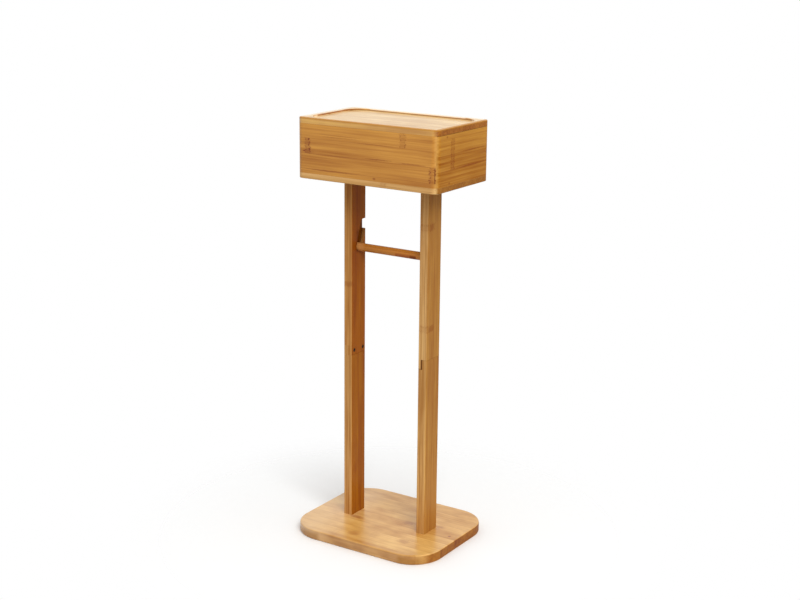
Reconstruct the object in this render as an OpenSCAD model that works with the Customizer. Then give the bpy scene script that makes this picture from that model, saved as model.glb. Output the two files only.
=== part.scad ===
// Free-standing toilet paper holder: a thick base board, two jointed posts with a lift-out
// paper rod between them, and a storage box on top whose loose lid is the shelf.
// Units are millimetres. The origin is on the floor under the middle of the base,
// +Z is up, +X is to the right and the front faces -Y.

/* [Base board] */
// Width of the base board
base_w = 250; // [200:1:340]
// Depth of the base board
base_d = 200; // [150:1:280]
// Thickness of the base board
base_t = 15; // [10:0.5:24]
// Corner radius of the base board, seen from above
base_corner_r = 50; // [20:1:70]
// Rounding of the base board's upper and lower edges
base_edge_r = 2; // [0.5:0.25:4]

/* [Posts] */
// Width of a post, from its inner to its outer face
post_w = 15; // [13:0.5:24]
// Depth of a post, front to back
post_d = 36; // [32:1:50]
// Free gap between the two posts
post_gap = 120; // [108:1:150]
// Height of the posts between the base board and the box
post_h = 542; // [420:1:640]
// Rounding of the posts' long edges
post_edge_r = 1.5; // [0.5:0.25:3]

/* [Half-lap joint] */
// Height of the half-lap that joins the lower and the upper post
lap_h = 15; // [12:1:40]
// Thickness of the lap's inner tongue, which belongs to the upper post
lap_tongue = 6; // [4:0.5:9]
// Small chamfer round the lap's visible seams
lap_chamfer = 0.6; // [0.2:0.1:1]

/* [Paper rod] */
// Diameter of the paper rod
rod_d = 12.5; // [9:0.5:14]
// Height of the seated rod's axis above the floor
rod_h = 446.5; // [380:0.5:460]
// Free play at each end of the rod
rod_end_play = 0.75; // [0.4:0.05:2]
// Chamfer on the rod's ends
rod_chamfer = 1; // [0.5:0.25:2]

/* [Rod slots] */
// Width of the slots in the posts' inner faces
slot_w = 16; // [14:0.5:18]
// Depth of the slots into the posts
slot_depth = 6.5; // [4:0.25:8]
// Lean of the slots towards the back, in degrees from upright
slot_lean = 17; // [5:1:20]
// Height of the mouth's middle above the seated rod's axis
slot_rise = 34; // [30:1:50]
// Distance of the rod's seat behind the middle of the post
seat_back = 1.5; // [-2:0.5:3]
// Gap between the seated rod and the bottom of its slot
seat_gap = 0.3; // [0.2:0.05:0.5]

/* [Box] */
// Outer width of the box
box_w = 242; // [190:1:330]
// Outer depth of the box
box_d = 146; // [110:1:220]
// Height of the closed box, from the underside of its floor to the top of its lid
box_h = 90; // [60:1:140]
// Outer corner radius of the box, seen from above
box_corner_r = 10; // [6:0.5:14]
// Thickness of the box walls
wall_t = 10; // [7:0.5:14]
// Thickness of the box floor
floor_t = 8.5; // [6:0.5:14]
// Rounding of the floor's lower and the lid's upper edge
board_edge_r = 1; // [0.4:0.1:1.5]
// Rounding of the floor's and the lid's edges at the walls, where the seams are
seam_edge_r = 0.3; // [0.2:0.1:1]

/* [Lid] */
// Thickness of the lid
lid_t = 8.5; // [7:0.5:14]
// Width of the rim that is left round the sunk shelf
rim_w = 8; // [6:0.5:20]
// Depth of the sunk shelf
tray_depth = 3; // [2:0.1:4]
// Corner radius of the sunk shelf, seen from above
tray_corner_r = 32; // [12:1:36]
// Radius of the hollow between the shelf and its rim
tray_cove_r = 2; // [0.5:0.25:2.5]
// Rounding of the rim's inner edge
tray_lip_r = 0.8; // [0.2:0.1:1]
// Width of the battens glued under the lid
batten_w = 18; // [12:1:30]
// Thickness of the battens
batten_t = 6; // [4:0.5:10]
// Free play between the battens and the box walls
batten_play = 1; // [0.5:0.1:2]

/* [Long screws] */
// Diameter of the long screws
long_screw_d = 4; // [3:0.5:5]
// Head diameter of the long screws
long_head_d = 8; // [6.5:0.5:9]
// Length of the long screws
long_screw_l = 40; // [30:1:50]
// Distance of the long screws from the middle of the post, front and back
long_screw_y = 9; // [7:0.5:11]

/* [Lap screws] */
// Diameter of the lap screws
lap_screw_d = 3; // [2.5:0.5:4]
// Head diameter of the lap screws
lap_head_d = 6; // [5:0.5:7]
// Length of the lap screws
lap_screw_l = 12; // [10:0.5:12.5]
// Distance of the lap screws from the middle of the post, front and back
lap_screw_y = 11.5; // [9:0.5:12]

/* [Screw fit] */
// How far the screw heads lie under the surface
head_sink = 0.3; // [0.1:0.1:1]
// Clearance round the screws
screw_fit = 0.05; // [0.03:0.01:0.2]
// Free depth past a screw's tip
tip_play = 1; // [0.5:0.1:2]

/* [Hidden] */
$fn = 96;

// Colours
bamboo = "#c98f4e";
bamboo_dark = "#b87838";
bamboo_pale = "#ecc48e";
bamboo_top = "#f6dfb4";
screw_brown = "#3b2618";

// Heights
post_foot = base_t;
box_foot = post_foot + post_h;
walls_foot = box_foot + floor_t;
walls_h = box_h - floor_t - lid_t;
lid_foot = walls_foot + walls_h;
lap_foot = post_foot + (post_h - lap_h) / 2;
lap_top = lap_foot + lap_h;

// The posts: places across the width
post_x = post_gap / 2 + post_w / 2;

// The slots, seen from the side: a leaning channel with a round seat, and a level mouth
seat_z = rod_h + slot_w / 2 - rod_d / 2 - seat_gap;
mouth_z = rod_h + slot_rise;
mouth_y = seat_back + (mouth_z - seat_z) * tan(slot_lean);
rod_l = post_gap + 2 * (slot_depth - rod_end_play);

// The inside of the box and of the sunk shelf
inner_w = box_w - 2 * wall_t;
inner_d = box_d - 2 * wall_t;
tray_w = box_w - 2 * rim_w;
tray_d = box_d - 2 * rim_w;

// A countersunk head is a right-angled cone, so it is as deep as its radius is more than the shank's
function cone_h(head_d, shank_d) = (head_d - shank_d) / 2;

// Length by which a cutting shape passes the surface that it cuts
past = 1;

// Rectangle with round corners, centred
module soft_rect(w, d, r) {
    square([w - 2 * r, d], center = true);
    square([w, d - 2 * r], center = true);
    for (x = [-1, 1], y = [-1, 1])
        translate([x * (w / 2 - r), y * (d / 2 - r)]) circle(r);
}

// Carries an edge profile round a rectangle of w by d with corner radius r and fills its middle
// up to height h. The profile is drawn with the outline at x = 0 and the inside at -r.
module board_form(w, d, r, h) {
    translate([r - w / 2, r - d / 2, 0]) cube([w - 2 * r, d - 2 * r, h]);
    for (side = [0, 180]) rotate(side) {
        translate([w / 2, d / 2 - r, 0]) rotate([90, 0, 0]) linear_extrude(d - 2 * r) children();
        translate([r - w / 2, d / 2, 0]) rotate([90, 0, 90]) linear_extrude(w - 2 * r) children();
        translate([w / 2 - r, d / 2 - r, 0]) rotate_extrude(angle = 90) translate([r, 0]) children();
        translate([r - w / 2, d / 2 - r, 0])
            rotate(90) rotate_extrude(angle = 90) translate([r, 0]) children();
    }
}

// Edge profile of a board of thickness t whose lower and upper edges are rounded by low and up
module round_edge(r, t, low, up) {
    translate([-r, 0]) square([r - low, t / 2]);
    translate([-r, t / 2]) square([r - up, t / 2]);
    translate([-r, low]) square([r, t - low - up]);
    translate([-low, low]) circle(low, $fn = 32);
    translate([-up, t - up]) circle(up, $fn = 32);
}

// Board with round corners and rounded edges, lying on z = 0
module soft_board(w, d, t, corner, low, up) {
    board_form(w, d, corner, t) round_edge(corner, t, low, up);
}

// Solid of revolution of a countersunk wood screw, head up with its face on z = 0, shank down
module screw_solid(d, head_d, length) {
    cone = cone_h(head_d, d);
    rotate_extrude() polygon([[0, 0], [head_d / 2, 0], [head_d / 2, -head_d / 20],
        [d / 2, -cone - head_d / 20], [d / 2, d - length], [d / 8, -length], [0, -length]]);
}

// Cross recess in the head
module cross_recess(head_d) {
    for (a = [0, 90]) rotate(a) translate([-head_d / 4, -head_d / 16, -head_d / 5])
        cube([head_d / 2, head_d / 8, head_d / 5 + past]);
}

module wood_screw(d, head_d, length) {
    difference() {
        screw_solid(d, head_d, length);
        cross_recess(head_d);
    }
}

// The hole for such a screw: the same form with clearance, open above the sunk head
module screw_hole(d, head_d, length) {
    wide = head_d / 2 + screw_fit;
    thin = d / 2 + screw_fit;
    cone = cone_h(head_d, d);
    rotate_extrude() polygon([[0, head_sink + past], [wide, head_sink + past], [wide, -head_d / 20],
        [thin, -cone - head_d / 20], [thin, -length - tip_play], [0, -length - tip_play]]);
}

// Places of the four screws that go up through the base board into the lower posts
module at_base_screws() {
    for (x = [-post_x, post_x], y = [-long_screw_y, long_screw_y])
        translate([x, y, head_sink]) rotate([180, 0, 0]) children();
}

// Places of the four screws that go down through the box floor into the upper posts
module at_box_screws() {
    for (x = [-post_x, post_x], y = [-long_screw_y, long_screw_y])
        translate([x, y, walls_foot - head_sink]) children();
}

// Places of the two screws of one half-lap, driven outwards from the inner face; side is -1 or 1
module at_lap_screws(side) {
    for (y = [-lap_screw_y, lap_screw_y])
        translate([side * (post_gap / 2 + head_sink), y, (lap_foot + lap_top) / 2])
            rotate([0, -side * 90, 0]) children();
}

// Thick base board with large round corners, countersunk from below
module base_plate() {
    color(bamboo_pale) difference() {
        soft_board(base_w, base_d, base_t, base_corner_r, base_edge_r, base_edge_r);
        at_base_screws() screw_hole(long_screw_d, long_head_d, long_screw_l);
    }
}

// Section of a post, centred on its own middle
module post_section() {
    soft_rect(post_w, post_d, post_edge_r);
}

// Section of a half-lap tongue of thickness t that fills the side of x > 0, its seam edges chamfered
module tongue_section(t) {
    c = lap_chamfer;
    seam = post_w / 2 - t;
    intersection() {
        post_section();
        polygon([[seam, c - post_d / 2], [seam + c, -post_d / 2], [post_w, -post_d / 2],
            [post_w, post_d / 2], [seam + c, post_d / 2], [seam, post_d / 2 - c]]);
    }
}

// Tongue of a half-lap on x > 0 that rises from z = 0, the outer edge of its end chamfered
module tongue(t) {
    c = lap_chamfer;
    seam = post_w / 2 - t;
    intersection() {
        linear_extrude(lap_h) tongue_section(t);
        rotate([90, 0, 0]) linear_extrude(post_d + 2 * past, center = true)
            polygon([[seam, 0], [post_w / 2, 0], [post_w / 2, lap_h - c], [post_w / 2 - c, lap_h],
                [seam, lap_h]]);
    }
}

// Lower post: it stands on the base board and ends in a tongue on its outer side
module lower_post(side) {
    color(bamboo) difference() {
        translate([side * post_x, 0, 0]) {
            translate([0, 0, post_foot]) linear_extrude(lap_foot - post_foot) post_section();
            translate([0, 0, lap_foot]) rotate(side > 0 ? 0 : 180) tongue(post_w - lap_tongue);
        }
        at_base_screws() screw_hole(long_screw_d, long_head_d, long_screw_l);
        at_lap_screws(side) screw_hole(lap_screw_d, lap_head_d, lap_screw_l);
    }
}

// Outline of a rod slot in the plane of the post's side, y to the right and z up
module slot_outline() {
    reach = (mouth_z - seat_z) / cos(slot_lean);
    translate([seat_back, seat_z]) rotate(-slot_lean) {
        circle(d = slot_w);
        translate([-slot_w / 2, 0]) square([slot_w, reach]);
    }
    translate([mouth_y, mouth_z]) circle(d = slot_w);
    translate([mouth_y, mouth_z - slot_w / 2]) square([post_d, slot_w]);
}

// Blind slot in a post's inner face: in at the back, forwards and down to the rod's seat
module rod_slot(side) {
    mirror([side > 0 ? 0 : 1, 0, 0]) translate([post_gap / 2 - past, 0, 0])
        rotate([90, 0, 90]) linear_extrude(slot_depth + past) slot_outline();
}

// Upper post: its tongue is on the inner side, it holds the rod's slot and carries the box
module upper_post(side) {
    color(bamboo) difference() {
        translate([side * post_x, 0, 0]) {
            translate([0, 0, lap_top]) linear_extrude(box_foot - lap_top) post_section();
            translate([0, 0, lap_top]) rotate([180, 0, side > 0 ? 180 : 0]) tongue(lap_tongue);
        }
        rod_slot(side);
        at_box_screws() screw_hole(long_screw_d, long_head_d, long_screw_l);
        at_lap_screws(side) screw_hole(lap_screw_d, lap_head_d, lap_screw_l);
    }
}

module left_lower_post() { lower_post(-1); }
module right_lower_post() { lower_post(1); }
module left_upper_post() { upper_post(-1); }
module right_upper_post() { upper_post(1); }

// Round rod that carries the paper roll; its ends lie in the slots' seats
module paper_rod() {
    c = rod_chamfer;
    color(bamboo) translate([0, seat_back, rod_h]) rotate([0, 90, 0]) rotate_extrude()
        polygon([[0, -rod_l / 2], [rod_d / 2 - c, -rod_l / 2], [rod_d / 2, c - rod_l / 2],
            [rod_d / 2, rod_l / 2 - c], [rod_d / 2 - c, rod_l / 2], [0, rod_l / 2]]);
}

// Floor board of the box, screwed down onto the posts
module box_floor() {
    color(bamboo_dark) difference() {
        translate([0, 0, box_foot])
            soft_board(box_w, box_d, floor_t, box_corner_r, board_edge_r, seam_edge_r);
        at_box_screws() screw_hole(long_screw_d, long_head_d, long_screw_l);
    }
}

// Plan of all four walls together: round outside, square inside
module walls_plan() {
    difference() {
        soft_rect(box_w, box_d, box_corner_r);
        square([inner_w, inner_d], center = true);
    }
}

// Plan of the wall on +Y, mitred at 45 degrees at both ends
module back_wall_plan() {
    intersection() {
        walls_plan();
        polygon([[-inner_w / 2, inner_d / 2], [inner_w / 2, inner_d / 2],
            [inner_w / 2 + 2 * wall_t, inner_d / 2 + 2 * wall_t],
            [-inner_w / 2 - 2 * wall_t, inner_d / 2 + 2 * wall_t]]);
    }
}

// Plan of the wall on +X, mitred the same way
module right_wall_plan() {
    intersection() {
        walls_plan();
        polygon([[inner_w / 2, -inner_d / 2], [inner_w / 2 + 2 * wall_t, -inner_d / 2 - 2 * wall_t],
            [inner_w / 2 + 2 * wall_t, inner_d / 2 + 2 * wall_t], [inner_w / 2, inner_d / 2]]);
    }
}

module wall(turn) {
    color(bamboo) translate([0, 0, walls_foot]) rotate(turn) linear_extrude(walls_h) children();
}

module box_back_wall() { wall(0) back_wall_plan(); }
module box_front_wall() { wall(180) back_wall_plan(); }
module box_right_wall() { wall(0) right_wall_plan(); }
module box_left_wall() { wall(180) right_wall_plan(); }

// Edge profile of the sunk shelf: a hollow at its foot and a rounded lip at the lid's top
module tray_profile() {
    c = tray_cove_r;
    e = tray_lip_r;
    r = tray_corner_r;
    translate([-r, 0]) square([r - c, tray_depth + past]);
    translate([-c - past / 2, c]) square([c + past / 2, tray_depth + past - c]);
    translate([-c, c]) circle(c, $fn = 32);
    difference() {
        translate([-past / 2, tray_depth - e]) square([e + past / 2, e + past]);
        translate([e, tray_depth - e]) circle(e, $fn = 32);
        translate([0, tray_depth - 2 * e]) square([e, e]);
    }
}

// Loose lid whose sunk top is the shelf
module lid_tray() {
    color(bamboo_top) translate([0, 0, lid_foot]) difference() {
        soft_board(box_w, box_d, lid_t, box_corner_r, seam_edge_r, board_edge_r);
        translate([0, 0, lid_t - tray_depth])
            board_form(tray_w, tray_d, tray_corner_r, tray_depth + past) tray_profile();
    }
}

// Batten under the lid that keeps it flat and holds it in place on the box
module lid_batten(side) {
    reach = inner_w / 2 - batten_play;
    color(bamboo) translate([side * (reach - batten_w / 2), 0, lid_foot - batten_t])
        linear_extrude(batten_t) soft_rect(batten_w, inner_d - 2 * batten_play, post_edge_r);
}

module left_lid_batten() { lid_batten(-1); }
module right_lid_batten() { lid_batten(1); }

module base_screws() {
    color(screw_brown) at_base_screws() wood_screw(long_screw_d, long_head_d, long_screw_l);
}

module box_screws() {
    color(screw_brown) at_box_screws() wood_screw(long_screw_d, long_head_d, long_screw_l);
}

module lap_screws() {
    color(screw_brown) for (side = [-1, 1])
        at_lap_screws(side) wood_screw(lap_screw_d, lap_head_d, lap_screw_l);
}

base_plate();
left_lower_post();
right_lower_post();
left_upper_post();
right_upper_post();
paper_rod();
box_floor();
box_front_wall();
box_back_wall();
box_left_wall();
box_right_wall();
lid_tray();
left_lid_batten();
right_lid_batten();
base_screws();
lap_screws();
box_screws();
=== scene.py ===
"""Looks of a free-standing bamboo toilet paper holder with a storage box.

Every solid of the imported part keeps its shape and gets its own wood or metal. The unit is the
metre and the frame is the part's own: +X right, front -Y, +Z up, the floor at z = 0. Places and
sizes of what is drawn in the wood are in millimetres, in the same frame.
"""
import math

import bpy
import numpy as np
from mathutils import Euler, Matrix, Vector


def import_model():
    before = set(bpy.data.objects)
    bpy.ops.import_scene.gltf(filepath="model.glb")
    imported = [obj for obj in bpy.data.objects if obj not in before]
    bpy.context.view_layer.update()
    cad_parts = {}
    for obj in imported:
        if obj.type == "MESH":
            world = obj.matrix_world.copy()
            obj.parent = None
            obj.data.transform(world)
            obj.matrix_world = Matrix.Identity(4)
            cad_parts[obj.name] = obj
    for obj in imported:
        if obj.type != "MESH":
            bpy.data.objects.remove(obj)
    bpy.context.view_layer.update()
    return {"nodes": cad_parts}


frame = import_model()
nodes = frame["nodes"]
scene = bpy.context.scene

X, Y, Z = 0, 1, 2

# Tones in sRGB. A pair is the pale and the dark tone between which the fibres of a face vary
BASE = ("ebba6c", "be8233")
BASE_EDGE = ("d0a060", "a06c34")
BASE_END = ("a86d28", "793e1c")
LEFT_POST = ("c3811d", "914f10")
LEFT_POST_EDGE = ("cf9c5e", "a97237")
LEFT_TOP_POST = ("bc7314", "8c460a")
LEFT_TOP_POST_EDGE = ("cc9453", "a66b30")
RIGHT_POST = ("deaa54", "b27a34")
RIGHT_POST_EDGE = ("d8a866", "b07a3e")
RIGHT_TOP_POST_EDGE = ("e1b373", "b78246")
ROD = ("d48834", "a46217")
WALL = ("d89c40", "9c5808")
FRONT_WALL = ("d89840", "9c550b")
# painted highlight where a wall turns round a corner
WALL_CORNER_LIGHT = ("d8a054", "c08a3c")
LID = ("fad694", "cb984a")
LID_EDGE = ("e2ae58", "ba7e38")
LID_END = ("b16f28", "90511a")
FLOOR_EDGE = ("e8b878", "c08c4c")
FLOOR_END = ("b17833", "905822")
FIBRE = "843808"             # fine lines, glue joints, growth rings and spots
BASE_FIBRE = "944408"
CUT_AND_SHADE = "501c00"               # cut faces and open joints, and painted shade in slots, seams and round the rod's seat
PAINTED_SHEEN_TOP = "fce4c0"          # painted sheen of the lacquer on the left of the base board's top
FOOT_SHADE = "94601c"              # painted shade on the low part of the base board's edge
ROD_UNDERSIDE = "902c08"            # darker along the underside of the rod, towards its right end
ROD_UNDERSIDE_END = "601c00"
# painted light on the rod's left end
ROD_TIP_LIGHT = "e8a868"
SHELF_CORNER_SHADE = "80542c"        # painted shade in the corner between the sunk shelf and its rim
# painted light that fades that shade at its ends
SHELF_CORNER_LIGHT = "f0d0a0"
RIM_HIGHLIGHT = "fff0d8"            # painted highlight on the rim of the lid
RIM_SHADE = "bc8034"          # painted shade on the rounded rim of the lid, which has hardly any lacquer there

# How laminated bamboo is drawn, sizes in millimetres
WANDER = 1.6                 # a glue joint wanders across this width
WANDER_RATE = 0.011          # and does so about once in 90 mm of its length
JOINT = (0.1, 0.75)          # distances from its middle at which a glue joint is full and gone; a real
                             # one is 0.1 mm wide, too fine for the picture
GRAIN_JUMP = 90.0            # the grain of each strip is moved by up to this much, so no two match
STRIP_STEP = 7.31            # steps that give each strip of each ply a number of its own
PLY_STEP = 3.17
GRAIN = (("band", 9, 190, 1),      # name, size across and along the grain, octaves of detail
         ("streak", 3, 110, 2),
         ("line", 2.2, 150, 1),
         ("fibre", 1.1, 60, 2),    # the real bundles are 0.3 to 0.5 mm wide, too fine for the picture
         ("cloud", 22, 40, 2),
         ("fleck", 2.2, 5, 1))
TURN = (0.6, 0.9)            # part of the normal at which one face starts and ends to be the next
RING_EVERY = 310             # growth rings that come by themselves are as far apart as on the stem
RING_WAVER = 9.0             # the strokes of a ring lie scattered over this length
RING_ROW = 8.2               # less half the scatter, each row is about 4 mm from the ring's middle
RING_HALO = 0.35             # the halo's strength, as a share of the ring's
BARE = 0.1                   # share of the lacquer that is left on end grain and in cuts
WOOD_IOR = 1.5               # of lacquer and wood alike
WOOD_SHEEN = 0.05            # the wood's own gloss under its lacquer is next to none

POST_X = 67.5                # from the middle of the holder to the middle of a post

# The stage, in metres
PICTURE = 800                # width in pixels of the photograph
FOCAL = 1460.479             # of the camera, in those pixels
FLOOR_RADIUS = 3.0
FLOOR_DROP = 0.0003          # keeps the floor clear of the base board's underside
FLOOR_FADE = (0.17, 0.45)    # distances from the middle at which its paint starts to fade and is gone
LOBES = (((-0.55, 0.83, 0.25), 3, 0.62),  # aim, power of the cosine, radiance: behind to the left
         ((0, 0, 1), 1, 0.6),             # overhead
         ((-0.6, -0.8, -0.1), 3, 0.6),    # in front to the left
         ((0.95, -0.25, 0), 8, 1.2))      # from the right
ALL_ROUND = 0.12             # radiance from every side


def rgb(code):
    """Linear colour of an sRGB hex code."""
    parts = [int(code[i:i + 2], 16) / 255 for i in (0, 2, 4)]
    return [c / 12.92 if c <= 0.04045 else ((c + 0.055) / 1.055) ** 2.4 for c in parts] + [1]


def add(tree, kind, inputs=None, out=0, **settings):
    """Adds a shader node with its settings, links or sets its inputs and gives output out, or all for None.

    Inputs are named, or numbered as the node has them: Map Range takes the value, from and to, then the two
    results, and a Mix of colours takes its factor at 0 and the colours at 6 and 7, and gives the result at
    2. A noise gives its value at 0 and its colour at 1."""
    made = tree.nodes.new("ShaderNode" + kind)
    for key, value in settings.items():
        setattr(made, key, value)
    for key, value in (inputs or {}).items():
        if isinstance(value, bpy.types.NodeSocket):
            tree.links.new(value, made.inputs[key])
        else:
            made.inputs[key].default_value = value
    return made.outputs if out is None or not made.outputs else made.outputs[out]


def blank(name):
    """A new material and its empty node tree."""
    made = bpy.data.materials.new(name)
    made.use_nodes = True
    made.node_tree.nodes.clear()
    return made, made.node_tree


def growth_ring(t, away, strength, flecks):
    """Darkness of a growth ring of the stem. away is the distance from its middle along the grain. Two rows
    of short strokes lie where away plus a noise comes near a fixed length, in a reddish halo."""
    wave = add(t, "Math", {0: flecks[0], 1: RING_WAVER, 2: away}, operation="MULTIPLY_ADD")
    row = add(t, "Math", {0: wave, 1: RING_ROW}, operation="SUBTRACT")
    row = add(t, "Math", {0: row}, operation="ABSOLUTE")
    row = add(t, "MapRange", {0: row, 1: 0.4, 2: 1.7, 3: strength, 4: 0.0}, interpolation_type="SMOOTHSTEP")
    gaps = add(t, "MapRange", {0: flecks[1], 1: 0.4, 2: 0.55, 3: 0.15, 4: 1.0})
    row = add(t, "Math", {0: row, 1: gaps}, operation="MULTIPLY")
    halo = add(t, "MapRange", {0: wave, 1: 6.0, 2: 12.0, 3: RING_HALO * strength, 4: 0.0},
               interpolation_type="SMOOTHSTEP")
    return add(t, "Math", {0: row, 1: halo}, operation="MAXIMUM")


def spot_shade(t, flat, fleck, spot):
    """Darkness of a small spot: it falls with the distance from its middle, taken in half lengths along
    and half widths across, plus a fine noise that makes its rim uneven."""
    along, across, length, width, strength = spot
    scale = (2 / length, 2 / width, 0)
    near = add(t, "VectorMath", {0: flat, 1: scale, 2: (-along * scale[0], -across * scale[1], 0)},
               operation="MULTIPLY_ADD")
    near = add(t, "VectorMath", {0: near}, out="Value", operation="LENGTH")
    near = add(t, "Math", {0: fleck, 1: 0.8, 2: near}, operation="MULTIPLY_ADD")
    return add(t, "MapRange", {0: near, 1: 0.7, 2: 1.5, 3: strength, 4: 0.0},
               interpolation_type="SMOOTHSTEP")


def mark_shade(t, mm, low, high, strength, fade):
    """Strength of a mark: full inside the box between low and high, falling with the distance from it to
    nothing at fade. The distance is the length of what sticks out past the half sizes along each axis."""
    low, high = Vector(low), Vector(high)
    off = add(t, "VectorMath", {0: mm, 1: (low + high) / 2}, operation="SUBTRACT")
    off = add(t, "VectorMath", {0: off}, operation="ABSOLUTE")
    off = add(t, "VectorMath", {0: off, 1: (high - low) / 2}, operation="SUBTRACT")
    off = add(t, "VectorMath", {0: off, 1: (0, 0, 0)}, operation="MAXIMUM")
    far = add(t, "VectorMath", {0: off}, out="Value", operation="LENGTH")
    return add(t, "MapRange", {0: far, 1: 0.0, 2: fade, 3: strength, 4: 0.0})


def bamboo(name, grain, side, face, edge=None, end=None, pitch=22.1, shift=0.0, ply=5.0, middle=0.0,
           seed=0.0, strips=(), rings=(), spots=(), marks=(), chance=0.3, figure=1.0, cloudy=0.2,
           lines=0.5, curve=TURN, dark=FIBRE, gloss=0.2, coat=0.08):
    """Laminated bamboo: strips of the stem glued side by side and in plies, planed, sanded and lacquered.

    It gives the eye straight strips that differ a little in tone, long fine fibres, hairlines of glue,
    the stem's growth rings as rows of short dark strokes, duller sawn ends and a soft sheen. It is a
    solid pattern, so a cut shows the same strips on every face.

    The grain runs along axis grain. Strips pitch mm wide lie side by side along axis side with a joint at
    shift. Plies of ply mm are stacked along the third axis, one of them round middle. seed picks the
    noise. face, edge and end are the tones of faces across the third axis, the side axis and the grain,
    and curve says where one turns into the next. figure, cloudy and lines weigh the long grain, soft
    clouds and fine lines, and dark is their tone.
    strips: (number from shift, tone) makes a strip paler or darker.
    rings: (along, across, strength) are growth rings, one strip wide. chance is the strength of those that
    come by themselves.
    spots: (along, across, length, width, strength).
    marks: (low corner, high corner, tone, strength, fade, lacquer) are seams, cut faces, painted shade and
    painted highlights.
    lacquer is the share of the coat that is left there.
    coat and gloss are the lacquer's weight and roughness."""
    made, t = blank(name)
    place = add(t, "TexCoord", out="Object")
    mm = add(t, "VectorMath", {0: place, "Scale": 1000.0}, operation="SCALE")
    xyz = add(t, "SeparateXYZ", {0: mm}, out=None)
    through = ({X, Y, Z} - {grain, side}).pop()
    u, v, w = xyz[grain], xyz[side], xyz[through]

    # Strips and plies: how many from the first joint, and the place within each
    drift = add(t, "Math", {0: u, 1: WANDER_RATE, 2: seed}, operation="MULTIPLY_ADD")
    drift = add(t, "TexNoise", {"W": drift, "Scale": 1.0, "Detail": 1.0}, noise_dimensions="1D")
    v_in = add(t, "Math", {0: drift, 1: WANDER, 2: v}, operation="MULTIPLY_ADD")
    strip = add(t, "Math", {0: v_in, 1: 1 / pitch, 2: -(shift + WANDER / 2) / pitch},
                operation="MULTIPLY_ADD")
    layer = add(t, "Math", {0: w, 1: 1 / ply, 2: 0.5 - middle / ply}, operation="MULTIPLY_ADD")
    strip_no = add(t, "Math", {0: strip}, operation="FLOOR")
    layer_no = add(t, "Math", {0: layer}, operation="FLOOR")
    number = add(t, "Math", {0: strip_no, 1: STRIP_STEP, 2: seed}, operation="MULTIPLY_ADD")
    number = add(t, "Math", {0: layer_no, 1: PLY_STEP, 2: number}, operation="MULTIPLY_ADD")
    own = add(t, "TexWhiteNoise", {"W": number}, out=None, noise_dimensions="1D")

    # Grain: noises drawn out along the strip
    jump = add(t, "VectorMath", {0: own[1], "Scale": GRAIN_JUMP}, operation="SCALE")
    moved = add(t, "VectorMath", {0: add(t, "CombineXYZ", {0: u, 1: v, 2: w}), 1: jump}, operation="ADD")
    noise = {}
    for kind, across, along, detail in GRAIN:
        size = (1 / along, 1 / across, 1 / across)
        point = add(t, "VectorMath", {0: moved, 1: size}, operation="MULTIPLY")
        settings = {"Vector": point, "Scale": 1.0, "Detail": detail, "Roughness": 0.5}
        noise[kind] = add(t, "TexNoise", settings, out=None)
    flecks = add(t, "SeparateXYZ", {0: noise["fleck"][1]}, out=None)

    # Tone: 0 is the dark and 1 the pale one. A noise is 0.5 in the mean, so half of its share is taken off
    # and the strip's own tone lies between 0.35 and 0.65
    shares = {"band": 0.9 * figure, "streak": 1.3 * figure, "fibre": 0.6 * figure, "cloud": cloudy}
    start = 0.35 - sum(shares.values()) / 2
    level = add(t, "Math", {0: own[0], 1: 0.3, 2: start}, operation="MULTIPLY_ADD")
    for kind, share in shares.items():
        level = add(t, "Math", {0: noise[kind][0], 1: share, 2: level}, operation="MULTIPLY_ADD")
    for number, tone in strips:
        same = add(t, "Math", {0: strip_no, 1: number, 2: 0.5}, operation="COMPARE")
        level = add(t, "Math", {0: same, 1: tone, 2: level}, operation="MULTIPLY_ADD")
    normal = add(t, "SeparateXYZ", {0: add(t, "NewGeometry", out="Normal")}, out=None)
    pair = [rgb(tone) for tone in face]
    for axis, tones in ((side, edge), (grain, end)):
        if tones:
            turn = add(t, "Math", {0: normal[axis]}, operation="ABSOLUTE")
            turn = add(t, "MapRange", {0: turn, 1: curve[0], 2: curve[1]})
            pair = [add(t, "Mix", {0: turn, 6: old, 7: rgb(tone)}, out=2, data_type="RGBA")
                    for old, tone in zip(pair, tones)]
    tint = add(t, "Mix", {0: level, 6: pair[1], 7: pair[0]}, out=2, data_type="RGBA")

    # What darkens it: fine lines and glue joints, which show less on sawn ends
    endwise = add(t, "Math", {0: normal[grain]}, operation="ABSOLUTE")
    calm = add(t, "MapRange", {0: endwise, 1: curve[0], 2: curve[1], 3: lines, 4: 0.2 * lines})
    # Only the peaks of its noise make a line, and a joint comes and goes with the streaks
    fine = add(t, "MapRange", {0: noise["line"][0], 1: 0.6, 2: 0.74, 3: 0.0, 4: 0.7})
    shades = [add(t, "Math", {0: fine, 1: calm}, operation="MULTIPLY")]
    patchy = add(t, "MapRange", {0: noise["streak"][0], 1: 0.35, 2: 0.62, 3: 0.25, 4: 1.1})
    patchy = add(t, "Math", {0: patchy, 1: calm}, operation="MULTIPLY")
    for cell, size in ((strip, pitch), (layer, ply)):
        near = add(t, "Math", {0: cell, 1: 0.5}, operation="PINGPONG")
        near = add(t, "MapRange", {0: near, 1: JOINT[0] / size, 2: JOINT[1] / size, 3: 1.0, 4: 0.0},
                   interpolation_type="SMOOTHSTEP")
        shades.append(add(t, "Math", {0: near, 1: patchy}, operation="MULTIPLY"))

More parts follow.
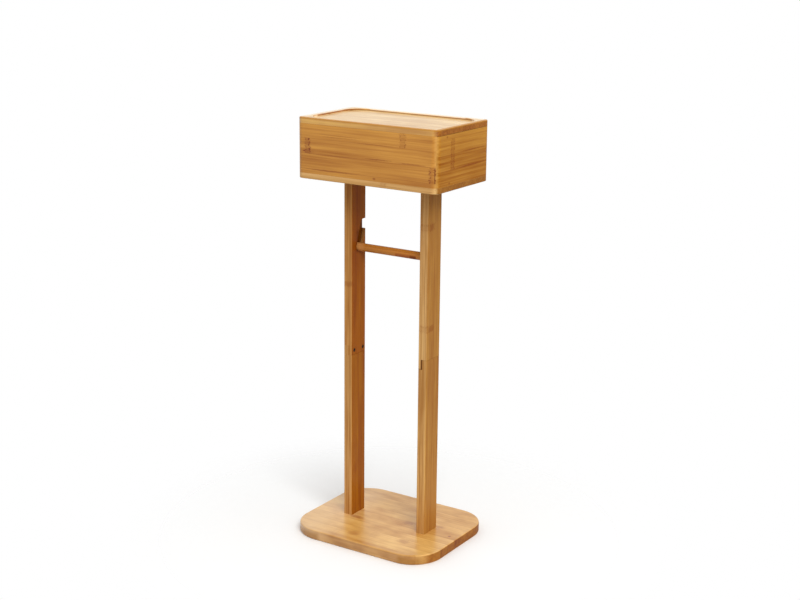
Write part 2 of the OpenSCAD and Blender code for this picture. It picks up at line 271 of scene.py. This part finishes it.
    # Growth rings that come by themselves, elsewhere on each strip, those at a known place, and spots
    if chance:
        phase = add(t, "Math", {0: own[0], 1: RING_EVERY * 7.0, 2: u}, operation="MULTIPLY_ADD")
        away = add(t, "Math", {0: phase, 1: RING_EVERY / 2}, operation="PINGPONG")
        shades.append(growth_ring(t, away, chance, flecks))
    for along, across, strength in rings:
        away = add(t, "Math", {0: u, 1: along}, operation="SUBTRACT")
        away = add(t, "Math", {0: away}, operation="ABSOLUTE")
        number = math.floor((across - shift) / pitch)
        inside = add(t, "Math", {0: strip_no, 1: number, 2: 0.5}, operation="COMPARE")
        shade = growth_ring(t, away, strength, flecks)
        shades.append(add(t, "Math", {0: shade, 1: inside}, operation="MULTIPLY"))
    flat = add(t, "CombineXYZ", {0: u, 1: v})
    for spot in spots:
        shades.append(spot_shade(t, flat, noise["fleck"][0], spot))
    for shade in shades:
        tint = add(t, "Mix", {0: shade, 6: tint, 7: rgb(dark)}, out=2, data_type="RGBA")

    # Lacquer: end grain soaks it up, and under a mark only its share is left, so cuts, painted shade and
    # the bare rim are dull
    film = add(t, "MapRange", {0: endwise, 1: TURN[0], 2: TURN[1], 3: coat, 4: BARE * coat})
    for low, high, tone, strength, fade, lacquer in marks:
        shade = mark_shade(t, mm, low, high, strength, fade)
        tint = add(t, "Mix", {0: shade, 6: tint, 7: rgb(tone)}, out=2, data_type="RGBA")
        left = add(t, "MapRange", {0: shade, 1: 0.0, 2: 1.0, 3: 1.0, 4: lacquer})
        film = add(t, "Math", {0: film, 1: left}, operation="MULTIPLY")

    # The sanded fibres differ in roughness and stand up by a fraction of a millimetre
    rough = add(t, "MapRange", {0: noise["fibre"][0], 1: 0.3, 2: 0.7, 3: 0.45, 4: 0.6})
    bump = add(t, "Bump", {"Strength": 0.2, "Distance": 0.0002, "Height": noise["fibre"][0]})
    wood = add(t, "BsdfPrincipled", {
        "Base Color": tint, "Roughness": rough, "Normal": bump, "IOR": WOOD_IOR,
        "Specular IOR Level": WOOD_SHEEN,
        "Coat Weight": film, "Coat Roughness": gloss, "Coat IOR": WOOD_IOR})
    add(t, "OutputMaterial", {"Surface": wood})
    return made


def screw_steel():
    """Browned steel of wood screws, turned and then browned in hot oil: dark, with a dull metal shine and
    faint brown patches about a millimetre wide."""
    made, t = blank("browned_steel")
    place = add(t, "TexCoord", out="Object")
    patch = add(t, "TexNoise", {"Vector": place, "Scale": 900.0, "Detail": 3.0})
    tint = add(t, "Mix", {0: patch, 6: rgb("2c180a"), 7: rgb("4a2c14")}, out=2, data_type="RGBA")
    rough = add(t, "MapRange", {0: patch, 1: 0.3, 2: 0.7, 3: 0.38, 4: 0.55})
    steel = add(t, "BsdfPrincipled", {"Base Color": tint, "Roughness": rough, "Metallic": 1.0})
    add(t, "OutputMaterial", {"Surface": steel})
    return made


def dress(names, material):
    """Gives CAD nodes their material."""
    for name in names:
        nodes[name].data.materials.clear()
        nodes[name].data.materials.append(material)


def post_marks(sign):
    """Painted shade in the rod's slot, round its seat and in the seams of the half-lap of one post, -1 left
    or 1 right, given for the right one and mirrored.
    """
    seam = 0.85 if sign > 0 else 0.1  # the painted shade in the seam hardly shows on the left
    cuts = (((64.8, -17.2, 438), (66.6, 17.3, 490), 0.7, 0.6),       # painted shade on the floor of the rod's slot
            ((61, -17.2, 438), (64, 17.3, 490), 0.1, 0.6),           # painted shade on the walls of the slot
            ((58, -3, 443), (66, 5, 450), 0.95, 6),                  # painted shadow round the seat in which the rod lies
            ((58, -4, 454), (60, 0, 470), 0.5, 5),                   # painted shade along the front of the slot
            ((65.2, -19, 278.8), (66.9, 19, 293.4), seam, 0.7),      # painted shade in the half-lap's seam: upright face of the tongue
            ((59, -19, 278.4), (66, 19, 279.2), 0.6 * seam, 0.6),    # lower shoulder
            ((66, -19, 293.2), (76, 19, 293.8), 0.25 * seam, 0.6))   # upper shoulder
    placed = []
    for (x0, *low), (x1, *high), strength, fade in cuts:
        if sign < 0:
            x0, x1 = -x1, -x0
        placed.append(((x0, *low), (x1, *high), CUT_AND_SHADE, strength, fade, BARE))
    return placed


def post(node, sign, face, edge, seed, **own):
    """Upright bamboo of one post, -1 left or 1 right. The broad faces show two strips with a joint in the
    middle, and the narrow front and back the edges of three plies."""
    dress([node], bamboo(
        node + "_bamboo", Z, Y, face, edge, pitch=20, middle=sign * POST_X, seed=seed, figure=1.5,
        cloudy=0.5, marks=post_marks(sign), chance=0.0, **own))


def wall(side, grain, face, middle, seed, **own):
    """Level bamboo of one wall of the box: a board of one ply, with a painted highlight where it turns
    round the corner.
    """
    dress([f"box_{side}_wall"], bamboo(
        side + "_wall_bamboo", grain, Z, face, end=WALL_CORNER_LIGHT, curve=(0.35, 0.75), ply=30, middle=middle,
        seed=seed, **own))


# Base board: one thick ply of pale strips, softly clouded, under a full coat
dress(["base_plate"], bamboo(
    "base_bamboo", X, Y, BASE, BASE_EDGE, BASE_END, pitch=20, shift=-50, seed=3, ply=20, middle=7.5,
    figure=0.5, cloudy=1.6, lines=0.2, chance=0.15, coat=1.0, gloss=0.28, dark=BASE_FIBRE,
    marks=(((112, -50.4, 1), (126, -49.9, 14), CUT_AND_SHADE, 0.7, 0.6, 0.2),       # open joint in the right end
           ((-125, -100, 14), (-90, 60, 17), PAINTED_SHEEN_TOP, 0.25, 50, 1),      # painted sheen on the left side of the top
           ((-126, -101, -1), (-70, -30, 7.5), FOOT_SHADE, 0.6, 8.3, 0.3),      # painted shade on the foot of the edge, left
           ((84, -101, -1), (108, -74, 7.5), FOOT_SHADE, 0.65, 8.3, 0.2)),      # painted shade at the right corner too
    spots=((-50.5, -18.5, 30, 14, 0.65),
           (-18, -73.5, 24, 22, 0.35),
           (31.7, 6.7, 26, 16, 0.4),
           (62.5, -56.7, 24, 18, 0.35),
           (78.6, 20, 24, 12, 0.35),
           (110.4, -1.7, 7, 6, 1))))                                      # a pin knot

# Posts: thinly lacquered, darker on the left
post("left_lower_post", -1, LEFT_POST, LEFT_POST_EDGE, 11, spots=((92, -9, 26, 10, 0.25),))
post("left_upper_post", -1, LEFT_TOP_POST, LEFT_TOP_POST_EDGE, 17, spots=((391, -17, 12, 10, 0.35),))
post("right_lower_post", 1, RIGHT_POST, RIGHT_POST_EDGE, 23, spots=((157, 15.5, 30, 4, 0.5),))
post("right_upper_post", 1, RIGHT_POST, RIGHT_TOP_POST_EDGE, 29,
     rings=((494.5, -9, 0.35), (341.3, -9, 0.35)), spots=((495, -9, 16, 14, 0.35), (341, -7, 12, 20, 0.35)))

# Rod: turned from the same laminated wood, with fine glue joints along it
dress(["paper_rod"], bamboo(
    "rod_bamboo", X, Y, ROD, pitch=20, ply=20, seed=31, chance=0.0, coat=0.35,
    # darker along the underside, most near the right post
    marks=(((10, -7, 439), (44, -1, 445.4), ROD_UNDERSIDE, 0.5, 3, 0.5),
           ((35, -7, 439), (43.5, 1, 445.2), ROD_UNDERSIDE_END, 0.6, 2, 0.1),
           # painted light on the left end, by the left post
           ((-66, -5, 442), (-54, 8, 453), ROD_TIP_LIGHT, 0.5, 8, 1))))

# Box walls: level strips, golden, with long dark lines along the joints
wall("front", X, FRONT_WALL, -68, 37, shift=572.2, pitch=22.6, coat=0.5, figure=0.8, lines=0.4, chance=0.0,
     strips=((-1, 0.1), (0, 0.0), (1, 0.12), (2, 0.17)),
     rings=((-102, 605, 1), (64, 627, 0.6), (113, 583, 0.9)),
     marks=(((116.4, -75, 572.2), (117, -60, 593.6), CUT_AND_SHADE, 0.6, 0.6, 0.5),),  # a strip's end at the corner
     spots=((16, 569, 7, 5, 0.6),                                            # a pin knot
            (-99, 597, 22, 7, 0.2),
            (-60, 572, 110, 3, 0.5),                                         # dark lines along the joints
            (-50, 595, 90, 2.5, 0.35),
            (22, 597, 60, 2.5, 0.6),
            (80, 596, 60, 2.5, 0.5),
            (15, 618, 80, 2, 0.4),
            (-40, 622, 90, 2, 0.3)))
wall("back", X, WALL, 68, 41, shift=572.2, pitch=22.6, figure=0.85, lines=0.35)
wall("right", Y, WALL, 116, 43, shift=565.6, figure=0.85, lines=0.35, chance=0.0,
     strips=((0, -0.33), (1, -0.15), (2, 0.1), (3, 0.15)), rings=((-31, 599, 0.8), (-31, 621, 0.7)),
     marks=(((112, -75, 638), (122, 75, 639), CUT_AND_SHADE, 0.6, 0.6, 0.2),),         # painted shade in the seam under the lid
     spots=((-39.2, 568.8, 6, 4, 0.5),                                       # pin knots
            (-46.7, 635, 6, 4, 0.5),
            (20, 588, 90, 2.5, 0.6),                                         # dark lines along the joints
            (25, 610, 80, 2.5, 0.6)))
wall("left", Y, WALL, -116, 47, shift=565.6, figure=0.85, lines=0.35)

# Box floor and lid: boards of one ply laid flat, with pale faces, golden edges and dark end grain
dress(["box_floor"], bamboo(
    "floor_bamboo", X, Y, LID, FLOOR_EDGE, FLOOR_END, pitch=20, seed=53, ply=20, middle=561))
dress(["lid_tray"], bamboo(
    "lid_bamboo", X, Y, LID, LID_EDGE, LID_END, pitch=20, seed=59, ply=20, middle=642.7, figure=1.2,
    cloudy=0.9, lines=0.3, chance=0.1, coat=1.0, gloss=0.3, curve=(0.3, 0.8),
    # painted shade in the corner round the sunk shelf, faded at its ends by painted light
    marks=(((-109, -30, 644.6), (103, 65.5, 645.3), SHELF_CORNER_SHADE, 0.8, 0.5, 0.5),
           ((-113, -48, 643), (-109, -34, 645.6), SHELF_CORNER_LIGHT, 0.85, 4, 1),
           ((101, 50, 643), (113, 60, 645.6), SHELF_CORNER_LIGHT, 0.75, 4, 1),
           ((-121, 65.2, 645.9), (121, 73, 647.2), RIM_HIGHLIGHT, 0.8, 0.5, 1),             # painted highlight on the back rim
           ((-121, -60, 645.9), (-113.3, 73, 647.2), RIM_HIGHLIGHT, 0.5, 0.5, 1),           # painted highlight on the left rim
           ((-121, -73.5, 646.6), (121, -67.7, 647.2), RIM_SHADE, 0.9, 2.2, 0.05),    # painted shade on the front rim
           ((116.3, -73, 646.6), (121.5, 73, 647.2), RIM_SHADE, 0.8, 2.2, 0.05)),     # painted shade on the right rim
    # a broad, soft darker patch over the middle of the shelf
    spots=((15, 20, 110, 80, 0.12),)))

# Battens: plain narrow sticks of the wood of the walls
dress(["left_lid_batten", "right_lid_batten"], bamboo("batten_bamboo", Y, X, WALL, pitch=20, seed=61))

dress(["base_screws", "lap_screws", "box_screws"], screw_steel())


def floor_disc():
    """Pale floor: a flat disc, whose points lie at a radius times the cosine and sine of a spoke's angle.
    Its matt white paint takes the shadow round the base and fades to clear, so no edge shows."""
    rings, spokes = 24, 96
    r = np.linspace(0, 1, rings + 1)[1:] ** 1.5 * FLOOR_RADIUS
    a = np.arange(spokes) * 2 * math.pi / spokes
    level = np.full((rings, spokes), -FLOOR_DROP)
    points = np.stack([r[:, None] * np.cos(a), r[:, None] * np.sin(a), level], -1)
    points = np.vstack([[[0, 0, -FLOOR_DROP]], points.reshape(-1, 3)])
    i, j = np.meshgrid(np.arange(rings - 1), np.arange(spokes), indexing="ij")
    k = (j + 1) % spokes
    inner, outer = 1 + i * spokes, 1 + (i + 1) * spokes
    quads = np.stack([inner + j, outer + j, outer + k, inner + k], -1)
    hub = np.stack([np.zeros(spokes, int), 1 + np.arange(spokes), 1 + (np.arange(spokes) + 1) % spokes], -1)
    mesh = bpy.data.meshes.new("floor")
    mesh.from_pydata(points.tolist(), [], quads.reshape(-1, 4).tolist() + hub.tolist())
    disc = bpy.data.objects.new("floor", mesh)
    scene.collection.objects.link(disc)
    made, t = blank("pale_floor")
    place = add(t, "TexCoord", out="Object")
    far = add(t, "VectorMath", {0: place}, out="Value", operation="LENGTH")
    fade = add(t, "MapRange", {0: far, 1: FLOOR_FADE[0], 2: FLOOR_FADE[1], 3: 0.0, 4: 1.0},
               interpolation_type="SMOOTHSTEP")
    paint = add(t, "BsdfDiffuse", {"Color": rgb("fbfbfa")})
    clear = add(t, "BsdfTransparent")
    add(t, "OutputMaterial", {"Surface": add(t, "MixShader", {0: fade, 1: paint, 2: clear})})
    mesh.materials.append(made)


def key_lamp():
    """Square area lamp in front to the right and above, facing the object's middle. It has no mirror image,
    because in the lacquer that would clip the shelf to white seen from behind."""
    data = bpy.data.lights.new("key", "AREA")
    data.size = 2.0
    data.energy = 90
    made = bpy.data.objects.new("key", data)
    place, aim = Vector((2.1, -1.8, 2.8)), Vector((0, 0, 0.4))
    made.location = place
    made.rotation_euler = (aim - place).to_track_quat("-Z", "Y").to_euler()
    made.visible_glossy = False
    scene.collection.objects.link(made)


def world():
    """Soft white room light on everything matt: each lobe adds its radiance times a power of the cosine to
    its direction. Camera, mirror and glass rays see plain white instead."""
    made = bpy.data.worlds.new("studio")
    made.use_nodes = True
    t = made.node_tree
    t.nodes.clear()
    way = add(t, "TexCoord", out="Generated")
    total = ALL_ROUND
    for aim, power, radiance in LOBES:
        near = add(t, "VectorMath", {0: way, 1: Vector(aim).normalized()}, out="Value",
                   operation="DOT_PRODUCT")
        near = add(t, "Math", {0: near, 1: 0.0}, operation="MAXIMUM")
        near = add(t, "Math", {0: near, 1: power}, operation="POWER")
        total = add(t, "Math", {0: near, 1: radiance, 2: total}, operation="MULTIPLY_ADD")
    ray = add(t, "LightPath", out=None)
    plain = add(t, "Math", {0: ray["Is Camera Ray"], 1: ray["Is Glossy Ray"]}, operation="MAXIMUM")
    plain = add(t, "Math", {0: plain, 1: ray["Is Transmission Ray"]}, operation="MAXIMUM")
    strength = add(t, "Mix", {0: plain, 2: total, 3: 1.0})
    add(t, "OutputWorld", {"Surface": add(t, "Background", {"Color": rgb("ffffff"), "Strength": strength})})
    scene.world = made


def camera():
    """Viewing angle of the photograph, fitted to the corners of the box and of the base board."""
    data = bpy.data.cameras.new("camera")
    data.sensor_width = 36
    data.lens = data.sensor_width * FOCAL / PICTURE
    data.clip_start = 0.1
    data.clip_end = 20
    made = bpy.data.objects.new("camera", data)
    made.location = (1.166626, -1.782147, 0.933842)
    made.rotation_euler = Euler((1.312988, -0.009771, 0.576228))
    scene.collection.objects.link(made)
    scene.camera = made


floor_disc()
world()
key_lamp()
camera()
scene.view_settings.view_transform = "Standard"
